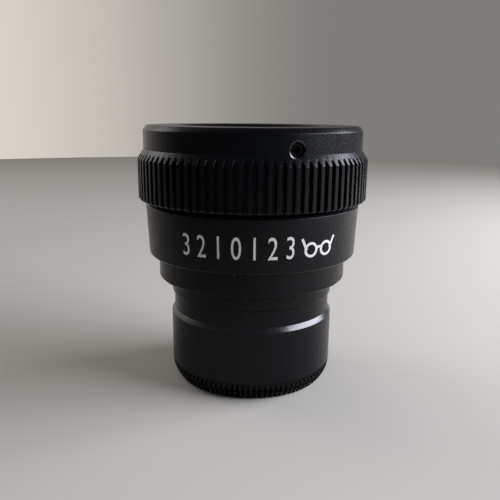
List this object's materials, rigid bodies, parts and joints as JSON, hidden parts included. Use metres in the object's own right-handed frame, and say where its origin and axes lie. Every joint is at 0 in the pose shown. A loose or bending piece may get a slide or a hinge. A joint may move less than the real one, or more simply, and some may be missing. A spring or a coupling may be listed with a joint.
{
  "type": "microscope eyepiece",
  "caption": "Wide-field microscope eyepiece for a 30 mm tube, with a ribbed ring that turns on a helicoid and raises its lens cell to set the dioptre.",
  "frame": {"origin": "middle of the foot ring's flat base, on the optical axis", "axes": "+Z along the optical axis towards the eye; -Y is the front, where the markings are; one ring screw sits 20.3 degrees from the front towards +X"},
  "size_m": [0.0408, 0.0408, 0.0462],
  "materials": {
    "black_anodised_aluminium": "satin black anodised",
    "matt_black_aluminium": "matt black anodised, inside surfaces",
    "coated_glass": "polished, anti-reflection coated",
    "black_oxide_steel": "black oxide"
  },
  "bodies": {
    "barrel": {"base_ring": "black_anodised_aluminium", "stop_spacer": "matt_black_aluminium", "field_stop": "matt_black_aluminium", "insertion_tube": "black_anodised_aluminium", "body_shell": "black_anodised_aluminium", "guide_screw_1": "black_oxide_steel", "guide_screw_2": "black_oxide_steel"},
    "cell": {"lens_cell": "black_anodised_aluminium", "cell_retainer": "matt_black_aluminium", "field_lens_flint": "coated_glass", "field_lens_crown": "coated_glass", "field_spacer": "matt_black_aluminium", "middle_lens": "coated_glass", "eye_spacer": "matt_black_aluminium", "eye_lens_crown": "coated_glass", "eye_lens_flint": "coated_glass"},
    "ring": {"dioptre_ring": "black_anodised_aluminium", "ring_screw_1": "black_oxide_steel", "ring_screw_2": "black_oxide_steel", "ring_screw_3": "black_oxide_steel"}
  },
  "joints": [
    {"name": "cell_slide", "type": "slide", "parent": "barrel", "child": "cell", "axis": [0, 0, 1], "range_m": [0, 0.005]},
    {"name": "ring_turn", "type": "hinge", "parent": "cell", "child": "ring", "pos_m": [0, 0, 0.0373], "axis": [0, 0, 1], "range_deg": [0, 300]}
  ],
  "couplings": [
    {"joint": "ring_turn", "follows": "cell_slide", "rad_per_m": 1047.2}
  ]
}
